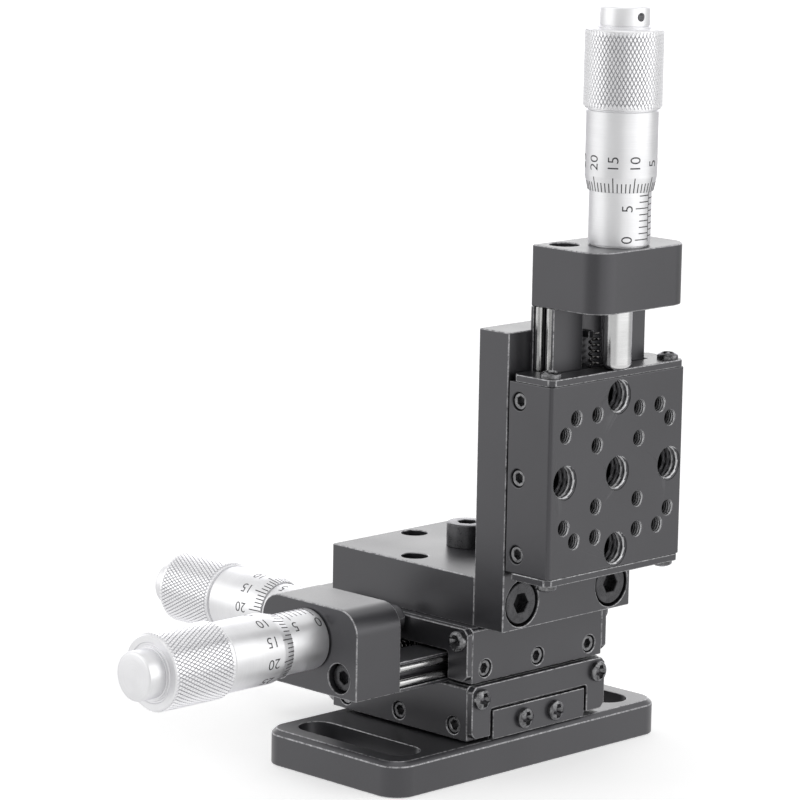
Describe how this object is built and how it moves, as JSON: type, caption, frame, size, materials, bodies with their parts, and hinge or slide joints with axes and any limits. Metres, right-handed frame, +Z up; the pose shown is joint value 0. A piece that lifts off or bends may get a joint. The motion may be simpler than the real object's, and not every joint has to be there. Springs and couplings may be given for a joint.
{
  "type": "xyz positioning stage",
  "caption": "Compact xyz linear positioning stage with ball-guided tables, micrometer drives, an angle bracket for the vertical axis and a slotted base plate",
  "frame": {"origin": "Centre of the base plate's underside.", "axes": "+X runs along the base plate's length to the right of the front face, +Y into the depth towards the Y micrometer, +Z up along the vertical stage's travel."},
  "size_m": [0.1049, 0.1107, 0.1257],
  "materials": {
    "black_anodised": "fine matte black anodising with bright broken edges",
    "satin_chrome": "satin chrome plating, finely turned",
    "bright_steel": "ground hardened steel",
    "dark_steel": "blackened screw steel",
    "cage_polymer": "plain moulded strip"
  },
  "bodies": {
    "base": {"base_plate": "black_anodised", "y_rail_base": "black_anodised", "y_inner_rods": "bright_steel", "y_rail_cover": "black_anodised", "y_cover_screws": "dark_steel", "y_mic_block": "black_anodised", "y_block_screws": "dark_steel", "y_sleeve": "satin_chrome", "y_spring": "bright_steel"},
    "y_table": {"y_carriage": "black_anodised", "y_outer_rods": "bright_steel", "y_preload_screws": "dark_steel", "y_end_plates": "black_anodised", "y_end_screws": "dark_steel", "x_rail_base": "black_anodised", "x_inner_rods": "bright_steel", "x_rail_cover": "black_anodised", "x_cover_screws": "dark_steel", "x_mic_block": "black_anodised", "x_block_screws": "dark_steel", "x_sleeve": "satin_chrome", "x_spring": "bright_steel"},
    "x_table": {"x_carriage": "black_anodised", "x_outer_rods": "bright_steel", "x_preload_screws": "dark_steel", "x_end_plates": "black_anodised", "x_end_screws": "dark_steel", "bracket_foot": "black_anodised", "bracket_upright": "black_anodised", "bracket_screws": "dark_steel", "foot_screw": "dark_steel", "z_rail_base": "black_anodised", "z_inner_rods": "bright_steel", "z_rail_cover": "black_anodised", "z_cover_screws": "dark_steel", "z_mic_block": "black_anodised", "z_block_screws": "dark_steel", "z_sleeve": "satin_chrome", "z_spring": "bright_steel"},
    "z_table": {"z_carriage": "black_anodised", "z_outer_rods": "bright_steel", "z_preload_screws": "dark_steel", "z_end_plates": "black_anodised", "z_end_screws": "dark_steel"},
    "y_cages": {"y_balls": "bright_steel", "y_ball_cages": "cage_polymer"},
    "y_spindle": {"y_spindle": "bright_steel"},
    "y_thimble": {"y_thimble": "satin_chrome", "y_thimble_cap": "satin_chrome"},
    "x_cages": {"x_balls": "bright_steel", "x_ball_cages": "cage_polymer"},
    "x_spindle": {"x_spindle": "bright_steel"},
    "x_thimble": {"x_thimble": "satin_chrome", "x_thimble_cap": "satin_chrome"},
    "z_cages": {"z_balls": "bright_steel", "z_ball_cages": "cage_polymer"},
    "z_spindle": {"z_spindle": "bright_steel"},
    "z_thimble": {"z_thimble": "satin_chrome", "z_thimble_cap": "satin_chrome"}
  },
  "joints": [
    {"name": "y_thimble_turn", "type": "hinge", "parent": "y_spindle", "child": "y_thimble", "pos_m": [0.0016, 0.0473, 0.0145], "axis": [0, 1, 0], "range_deg": [-4681, 4681]},
    {"name": "y_spindle_advance", "type": "slide", "parent": "base", "child": "y_spindle", "axis": [0, 1, 0], "range_m": [-0.0065, 0.0065]},
    {"name": "y_travel", "type": "slide", "parent": "base", "child": "y_table", "axis": [0, 1, 0], "range_m": [-0.0065, 0.0065], "deforming": ["y_spring"]},
    {"name": "y_cage_roll", "type": "slide", "parent": "base", "child": "y_cages", "axis": [0, 1, 0], "range_m": [-0.00325, 0.00325]},
    {"name": "x_thimble_turn", "type": "hinge", "parent": "x_spindle", "child": "x_thimble", "pos_m": [-0.0441, 0.0014, 0.0241], "axis": [-1, 0, 0], "range_deg": [-4681, 4681]},
    {"name": "x_spindle_advance", "type": "slide", "parent": "y_table", "child": "x_spindle", "axis": [-1, 0, 0], "range_m": [-0.0065, 0.0065]},
    {"name": "x_travel", "type": "slide", "parent": "y_table", "child": "x_table", "axis": [-1, 0, 0], "range_m": [-0.0065, 0.0065], "deforming": ["x_spring"]},
    {"name": "x_cage_roll", "type": "slide", "parent": "y_table", "child": "x_cages", "axis": [-1, 0, 0], "range_m": [-0.00325, 0.00325]},
    {"name": "z_thimble_turn", "type": "hinge", "parent": "z_spindle", "child": "z_thimble", "pos_m": [0.0037, -0.02835, 0.0969], "axis": [0, 0, 1], "range_deg": [-4681, 4681]},
    {"name": "z_spindle_advance", "type": "slide", "parent": "x_table", "child": "z_spindle", "axis": [0, 0, 1], "range_m": [-0.0065, 0.0065]},
    {"name": "z_travel", "type": "slide", "parent": "x_table", "child": "z_table", "axis": [0, 0, 1], "range_m": [-0.0065, 0.0065], "deforming": ["z_spring"]},
    {"name": "z_cage_roll", "type": "slide", "parent": "x_table", "child": "z_cages", "axis": [0, 0, 1], "range_m": [-0.00325, 0.00325]}
  ],
  "couplings": [
    {"joint": "y_thimble_turn", "follows": "y_travel", "rad_per_m": 12566},
    {"joint": "y_spindle_advance", "follows": "y_travel", "ratio": 1},
    {"joint": "y_cage_roll", "follows": "y_travel", "ratio": 0.5},
    {"joint": "x_thimble_turn", "follows": "x_travel", "rad_per_m": 12566},
    {"joint": "x_spindle_advance", "follows": "x_travel", "ratio": 1},
    {"joint": "x_cage_roll", "follows": "x_travel", "ratio": 0.5},
    {"joint": "z_thimble_turn", "follows": "z_travel", "rad_per_m": 12566},
    {"joint": "z_spindle_advance", "follows": "z_travel", "ratio": 1},
    {"joint": "z_cage_roll", "follows": "z_travel", "ratio": 0.5}
  ]
}
